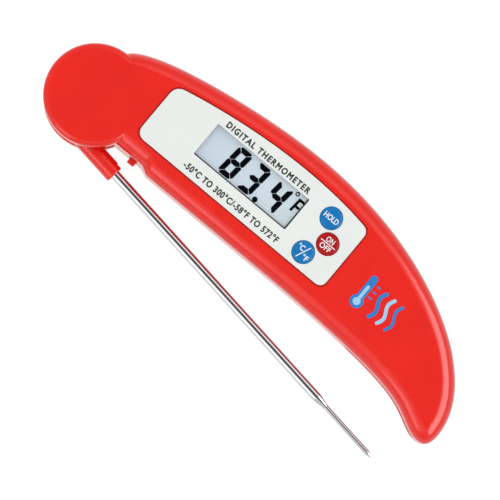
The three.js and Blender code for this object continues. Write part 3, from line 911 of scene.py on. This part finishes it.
def lettering(text, low, high, z0, z1, spacing, weight):
    """Sans-serif letters filling the box from low to high, as thin closed solids."""
    curve = bpy.data.curves.new("text", "FONT")
    curve.body = text
    curve.extrude = 0.5
    curve.space_character = spacing
    curve.resolution_u = 5
    source = placed("text", curve)
    bpy.context.view_layer.update()
    graph = bpy.context.evaluated_depsgraph_get()
    mesh = bpy.data.meshes.new_from_object(source.evaluated_get(graph))
    bpy.data.objects.remove(source)
    bpy.data.curves.remove(curve)
    bm = bmesh.new()
    bm.from_mesh(mesh)
    bpy.data.meshes.remove(mesh)
    for axis in (0, 1):
        values = [v.co[axis] for v in bm.verts]
        least, most = min(values), max(values)
        for v in bm.verts:
            v.co[axis] = low[axis] + (v.co[axis] - least) * (high[axis] - low[axis]) / (most - least)
    for v in bm.verts:
        v.co.z = z0 if v.co.z < 0 else z1
    thicken(bm, weight)
    return new_object("text", bm)


def build_print():
    """The caption above the display and the range below it, printed on the label."""
    z0, z1 = LABEL_TOP + 0.002, LABEL_TOP + 0.015
    title = lettering("DIGITAL THERMOMETER", (35.5, 17.5), (66.7, 19.35), z0, z1, 1.3, 0.11)
    title.name = "title_print"
    scale = lettering("-50°C TO 300°C/-58°F TO 572°F", (33.3, 0.35), (68.7, 2.35), z0, z1, 1.15, 0.1)
    scale.name = "range_print"
    for words in (title, scale):
        finish_piece(words, "handle", "label_film", look="print_black")


# ---- buttons


def cap_height(r):
    """Height of a button's top at a distance from its centre."""
    out = max(0.0, min(1.0, (r - CAP_FLAT) / (BUTTON_R - CAP_RIM - CAP_FLAT)))
    return BUTTON_TOP - CAP_DROP * out * out


def legend_parts(name, x, y):
    """The white legend of a button, in parts that stand from z = 0 to 1."""
    def text(words, x0, x1, y0, y1):
        return lettering(words, (x + x0, y + y0), (x + x1, y + y1), 0, 1, 1.0, 0.03)

    def stroke(p, q):
        start, end = Vector((x + p[0], y + p[1])), Vector((x + q[0], y + q[1]))
        along = (end - start).normalized()
        side = Vector((-along.y, along.x)) * 0.14
        rings = []
        steps = 12
        for k in range(steps + 1):
            here = start.lerp(end, k / steps)
            near, far = here - side, here + side
            rings.append([(*near, 0), (*far, 0), (*far, 1), (*near, 1)])
        return stack("bar", rings)

    if name == "hold":
        return [text("HOLD", -2.45, 2.45, -0.85, 0.85)]
    if name == "power":
        bar = stroke((-2.6, 0.02), (2.6, 0.02))
        return [text("ON", -1.3, 1.3, 0.45, 2.1), text("OFF", -1.85, 1.85, -2.05, -0.45), bar]
    slope, reach = math.radians(67), 2.65
    across, upward = math.cos(slope) * reach, math.sin(slope) * reach
    slash = stroke((-across, -upward), (across, upward))
    return [text("°C", -2.35, -0.35, 0.0, 1.75), text("°F", 0.55, 2.45, -1.85, -0.1), slash]


def build_button(name):
    """A push button: domed cap, flange and stem, and the white legend laid on the cap."""
    x, y = middle(f"{name}_button").xy
    body = f"{name}_key"
    inner = BUTTON_R - CAP_RIM
    skirt = BUTTON_FOOT + 0.7
    dome = [(0, BUTTON_TOP)]
    dome += [(r, cap_height(r)) for r in (1.4, CAP_FLAT, 2.8, 2.9, 3.0, inner)]
    edge = arc(inner, cap_height(inner) - CAP_RIM, CAP_RIM, 75, 0, 5)
    cap = lathe(f"{name}_cap", [*dome, *edge, (BUTTON_R, skirt), (0, skirt)], x, y)
    flange = block(x - 4.5, x + 4.5, y - 1.1, y + 1.1, skirt, BUTTON_FOOT + 1.9)
    stem = rod(1.2, BUTTON_FOOT, BUTTON_FOOT + 0.9, x, y)
    join(cap, flange, stem)
    finish_piece(cap, body, BUTTONS[name], [f"{name}_button"])
    legend = merged(f"{name}_legend", legend_parts(name, x, y))
    for v in legend.data.vertices:
        proud = 0.02 if v.co.z > 0.5 else 0.002
        v.co.z = cap_height(math.hypot(v.co.x - x, v.co.y - y)) + proud
    finish_piece(legend, body, BUTTONS[name], look="print_white")


# ---- pictogram


def build_pictogram():
    """A plain pictogram beside the label: a bulb thermometer with three waves of heat."""
    z0, z1 = THICK + 0.002, THICK + 0.02
    x, y = 98.0, 2.6  # the bulb
    under, over = z1 - 0.01, z1 + 0.01

    def mark(points, width, low=z0, high=z1):
        return prism("part", ribbon(points, width), low, high)

    body = join(mark([(x, y), (x, y + 8.2)], 2.4), rod(2.1, z0, z1, x, y))
    fluid = join(mark([(x, y), (x, y + 5.4)], 1.0, under, over), rod(1.2, under, over, x, y))
    ticks = []
    waves = []
    steps = 24
    for k in range(3):
        level = y + 3.2 + 2.0 * k
        ticks.append(mark([(x + 2.1, level), (x + 3.0, level)], 0.55))
        centre = x + 5.6 + 3.1 * k
        line = []
        for step in range(steps + 1):
            swing = 0.75 * math.sin(2 * math.pi * step / steps)
            line.append((centre + swing, y - 1.2 + 8.4 * step / steps))
        waves.append(mark(line, 1.25 - 0.15 * k))
    pale = merged("pictogram_pale", [fluid, waves.pop(1)])
    blue = merged("pictogram_blue", [body, *ticks, *waves])
    finish_piece(blue, "handle", "red_plastic", look="print_blue")
    finish_piece(pale, "handle", "red_plastic", look="print_pale")


# ---- hub and probe


def build_hub():
    """The hub between the discs, with the holder that carries the probe."""
    edge, clearance = 0.4, 0.12
    hub = lathe("hub", [
        (0, HUB_REAR), *arc(HUB_R - edge, HUB_REAR + edge, edge, -90, 0, 3),
        *arc(HUB_R - edge, HUB_FRONT - edge, edge, 0, 90, 3), (0, HUB_FRONT),
    ])
    folded_arm = TURN.inverted() @ ALONG_ARM
    arm = lathe("arm", [(ARM_R, 0), *arc(ARM_R - edge, ARM_END - edge, edge, 0, 90, 5)])
    join(hub, moved(arm, folded_arm))
    bore = PROBE_R + 0.06
    socket = lathe("tool", [(bore, 5.5), (bore, ARM_END - 0.25), (PROBE_R + 0.35, ARM_END + 1)])
    relief = box_mm("fold_peg")[0].y - 0.3  # y where the room for the folded switch's peg begins
    well = 5.2  # inner radius of the lead space and of its lid's seat
    cut(
        hub,
        pipe("tool", well, 13, HUB_REAR + 1.3, HUB_FRONT - 1.4),
        pipe("tool", well, 13.4, HUB_REAR - 1, HUB_REAR + 1.35),
        rod(BOSS_R + clearance, 0, THICK, sides=96),
        block(-1.3, 1.3, -BOSS_R - 2, -BOSS_R + 1, 8.6, 11.4),
        moved(socket, folded_arm),
        block(PEG.x - PEG_HOLE, ARM_END + 1, relief, 0, SPLIT - PEG_HOLE, SPLIT + PEG_HOLE),
    )
    finish_piece(moved(hub, TURN), "probe", "red_plastic", ["probe_hub"])


def build_probe():
    """The drawn steel tube: narrowed towards its end and ground to a point."""
    wall, start = 0.3, 7.6
    bore, tip_bore = PROBE_R - wall, TIP_R - wall
    profile = [
        (bore, start), (PROBE_R - 0.1, start), (PROBE_R, start + 0.1), (PROBE_R, NECK[0] - 0.4),
        (PROBE_R - 0.04, NECK[0] + 0.1), (TIP_R + 0.04, NECK[1] - 0.1), (TIP_R, NECK[1] + 0.4),
        (TIP_R, POINT[0] - 0.2), (TIP_R - 0.05, POINT[0] + 0.1), (0.1, POINT[1] - 0.15), (0, POINT[1]),
        (0, POINT[0] - 0.6), (tip_bore, POINT[0] - 1), (tip_bore, NECK[1]), (bore, NECK[0]),
    ]
    tube = stack("probe_shaft", [circle(r, z, sides=64) for r, z in profile], loop=True)
    finish_piece(moved(tube, ALONG_ARM), "probe", "stainless_steel", ["probe_tube"], sharp=50)


def build_peg():
    """The square peg of the folding switch, its edges eased."""
    low = box_mm("fold_peg")[0].y
    rim = 0.25
    rings = []
    for inner, y in ((rim, low), (0.07, low + 0.1), (0, low + rim), (0, -4.4)):
        outer = rounded_rect(PEG.x - PEG_HALF + inner, PEG.x + PEG_HALF - inner,
                             SPLIT - PEG_HALF + inner, SPLIT + PEG_HALF - inner, 0.3, 4)
        rings.append([(p.x, y, p.y) for p in outer])
    peg = stack("switch_peg", rings)
    flange = PEG_HALF + 0.7
    join(
        peg,
        block(PEG.x - flange, PEG.x + flange, -5.1, -4.3, SPLIT - flange, SPLIT + flange),
        block(PEG.x - 0.7, PEG.x + 0.7, -4.5, -2.2, SPLIT - 0.7, SPLIT + 0.7),
    )
    finish_piece(peg, "fold_key", "red_plastic", ["fold_peg"])


# ---- battery, magnet and screws


def build_cell():
    """An AAA cell: steel can with a nub and a crimped end, in a plain jacket."""
    r = (CELL_HIGH.z - CELL_LOW.z) / 2
    length = CELL_HIGH.x - CELL_LOW.x
    place = Matrix.Translation((CELL_LOW.x, CELL_AXIS.y, CELL_AXIS.z)) @ UPRIGHT_TO_X
    can = lathe("cell_can", [
        (0, 0), *arc(1.6, 0.3, 0.3, -90, 0, 3), (1.9, 0.9), (3.2, 0.9), (3.4, 1.15), (r - 0.7, 1.15),
        (r - 0.5, 0.95), (r - 0.15, 1.3), (r - 0.15, length - 0.5), (r - 0.5, length - 0.1),
        (r - 0.9, length - 0.1), (r - 1.1, length), (0, length),
    ])
    finish_piece(moved(can, place), "handle", "nickel_plate", ["battery_cell"])
    jacket = lathe("cell_jacket", [
        (r - 0.14, 1.35), (r - 0.05, 1.3), (r, 1.4),
        (r, length - 0.7), (r - 0.05, length - 0.6), (r - 0.14, length - 0.65),
    ], loop=True)
    finish_piece(moved(jacket, place), "handle", "cell_jacket")


def build_spring():
    """The contact spring's open coil, wider at the plate end."""
    x0, x1 = CELL_HIGH.x + 0.6, CELL_HIGH.x + 3.6
    turns, steps = 3, 144
    narrow, wide = 1.8, 3.5
    path = []
    for i in range(steps + 1):
        t = i / steps
        a = 2 * math.pi * turns * t
        r = narrow + (wide - narrow) * t
        path.append((x0 + (x1 - x0) * t, CELL_AXIS.y + r * math.cos(a), CELL_AXIS.z + r * math.sin(a)))
    finish_piece(sweep("contact_spring", path, 0.3), "handle", "nickel_plate", ["battery_spring"])


def build_magnet():
    """The holding magnet, a disc with its outer edge rounded."""
    edge = 0.3
    disc = lathe("rear_magnet", [
        (0, MAGNET_LOW.z), *arc(MAGNET_R - edge, MAGNET_LOW.z + edge, edge, -90, 0, 4),
        (MAGNET_R, MAGNET_HIGH.z), (0, MAGNET_HIGH.z),
    ], *MAGNET_AXIS)
    finish_piece(disc, "handle", "magnet_nickel", ["magnet"])


def build_screw(index):
    """A pan-head screw with a cross recess."""
    node = f"case_screw_{index}"
    low, high = box_mm(node)
    x, y = middle(node).xy
    head, neck = low.z, low.z + 1.5
    crest, root = 0.95, 0.75  # radii of the thread
    profile = [(0, head), (1.1, head), (1.7, head + 0.25), (2.0, head + 0.7), (2.1, neck), (crest, neck)]
    z = neck + 0.2
    while z < high.z - 1.6:
        profile += [(crest, z), (root, z + 0.25), (crest, z + 0.5)]
        z += 0.55
    profile += [(0.7, high.z - 0.8), (0, high.z)]
    made = lathe(f"screw_{index}", profile, x, y, 48)
    reach, width, depth = 1.15, 0.42, 0.9  # of the cross recess
    lines = ([(x - reach, y), (x + reach, y)], [(x, y - reach), (x, y + reach)])
    cut(made, *[prism("tool", ribbon(line, width), head - 1, head + depth) for line in lines])
    finish_piece(made, "handle", "screw_steel", [node])


def dress_cad_nodes():
    """The inner pieces keep their CAD shape, with eased edges and their own materials."""
    for row in frame["record"]["subparts"]:
        node = frame["nodes"][row["node"]]
        if node.hide_render:
            continue
        node.data.materials.clear()
        node.data.materials.append(MATERIALS[row["material_slot"]])
        eased = node.modifiers.new("eased", "BEVEL")
        eased.width = 0.08 * MM
        eased.segments = 2
        eased.limit_method = "ANGLE"
        eased.angle_limit = math.radians(50)


# ---- floor, light and camera


def build_floor():
    """A pale floor, far enough below for the battery door to come off."""
    bm = bmesh.new()
    half, drop = 2.0, 0.016  # metres
    corners = ((-half, -half), (half, -half), (half, half), (-half, half))
    bm.faces.new([bm.verts.new((x, y, -drop)) for x, y in corners])
    floor = new_object("floor", bm)
    made = Nodes("floor")
    pale = made.mixed(made.noise(60), (0.16, 0.16, 0.16), (0.18, 0.18, 0.18))
    made.link(pale, made.shader.inputs["Base Color"])
    set_inputs(made.shader, {"Roughness": 0.9, "Specular IOR Level": 0.1, "Emission Color": (1, 1, 1, 1)})
    glow = by_ray(made.tree, 0.30, 0.90, 0.84)
    made.link(glow, made.shader.inputs["Emission Strength"])
    floor.data.materials.append(made.material)
    floor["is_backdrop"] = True


def by_ray(tree, lighting, seen, reflected):
    """A value of its own for the light a thing sheds, how bright it looks and how it is reflected."""
    path = tree.nodes.new("ShaderNodeLightPath")
    value = lighting
    for output, wanted in (("Is Camera Ray", seen), ("Is Glossy Ray", reflected)):
        mix = tree.nodes.new("ShaderNodeMix")
        tree.links.new(path.outputs[output], mix.inputs["Factor"])
        for socket, source in ((mix.inputs["A"], value), (mix.inputs["B"], wanted)):
            if isinstance(source, float):
                socket.default_value = source
            else:
                tree.links.new(source, socket)
        value = mix.outputs["Result"]
    return value


def build_sky():
    """An even white tent, with a dark hole overhead that only reflections show."""
    world = bpy.data.worlds.new("studio")
    bpy.context.scene.world = world
    world.use_nodes = True
    tree = world.node_tree
    place = tree.nodes.new("ShaderNodeTexCoord")
    split = tree.nodes.new("ShaderNodeSeparateXYZ")
    ramp = tree.nodes.new("ShaderNodeValToRGB")
    tree.links.new(place.outputs["Generated"], split.inputs["Vector"])
    tree.links.new(split.outputs["Z"], ramp.inputs["Fac"])
    stops = ((0.0, 0.9), (0.15, 0.5), (0.5, 0.62), (0.84, 0.70), (0.94, 0.12), (1.0, 0.10))
    ramp.color_ramp.interpolation = "EASE"
    ramp.color_ramp.elements[0].position = stops[0][0]
    ramp.color_ramp.elements[1].position = stops[-1][0]
    for position, _ in stops[1:-1]:
        ramp.color_ramp.elements.new(position)
    for element, (_, value) in zip(ramp.color_ramp.elements, stops):
        element.color = (value, value, value, 1)
    brightness = by_ray(tree, 0.9, 1.0, ramp.outputs["Color"])
    tree.links.new(brightness, tree.nodes["Background"].inputs["Strength"])
    tree.nodes["Background"].inputs["Color"].default_value = (1, 1, 1, 1)


def build_lamp(name, place, aim, size, brightness, reflected):
    """A softbox that either lights the surfaces or shows as a soft highlight in them."""
    data = bpy.data.lights.new(name, "AREA")
    data.shape = "RECTANGLE"
    data.size, data.size_y = size
    data.energy = brightness * math.pi * size[0] * size[1]
    lamp = placed(name, data)
    lamp.visible_glossy = reflected
    lamp.visible_diffuse = not reflected
    lamp.visible_camera = False
    lamp.location = place
    toward = Vector(aim) - lamp.location
    lamp.rotation_euler = toward.to_track_quat("-Z", "Y").to_euler()


def build_lamps():
    build_lamp("key", (0.0, -0.1, 0.9), (0.06, 0, 0), (0.9, 0.6), 0.8, False)
    build_lamp("tail_softbox", (0.50, 0.17, 0.33), (0.13, 0, 0.02), (0.8, 0.36), 5.0, True)
    build_lamp("edge_softbox", (0.06, -0.45, 0.55), (0.06, 0, 0.02), (0.5, 0.35), 0.4, True)
    build_lamp("back_softbox", (0.06, 0.45, 0.6), (0.06, 0, 0.02), (0.5, 0.35), 0.6, True)
    build_lamp("holder_softbox", (-0.03, -0.42, 0.25), (0.01, 0, 0.01), (0.20, 0.22), 2.3, True)


def build_camera():
    """Nearly straight down on the front face, tipped a little to the straight edge."""
    tilt, roll = math.radians(3.5), math.radians(39.887)
    distance = 1.2259
    target = Vector((64.274, -5.974, THICK)) * MM
    back = Vector((0, -math.sin(tilt), math.cos(tilt)))
    right = Vector((math.cos(roll), math.sin(roll), 0))
    right = (right - right.dot(back) * back).normalized()
    up = back.cross(right)
    data = bpy.data.cameras.new("camera")
    data.lens = 300
    data.sensor_width = 36
    data.clip_start, data.clip_end = 0.05, 20
    camera = placed("camera", data)
    rotation = Matrix((right, up, back)).transposed().to_4x4()
    camera.matrix_world = Matrix.Translation(target + back * distance) @ rotation
    bpy.context.scene.camera = camera


# ---- assembly

bpy.context.scene.view_settings.view_transform = "Standard"
make_materials()
build_front_shell()
build_rear_shell()
build_door()
build_label()
build_display()
build_reading()
build_print()
for button in BUTTONS:
    build_button(button)
build_pictogram()
build_hub()
build_probe()
build_peg()
build_cell()
build_spring()
build_magnet()
for number in range(1, len(CASE_SCREWS) + 1):
    build_screw(number)
dress_cad_nodes()
build_floor()
build_sky()
build_lamps()
build_camera()

boxes = {"cad": CAD_BOX, "visual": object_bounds()}
{key: [list(corner) for corner in box] for key, box in boxes.items()}
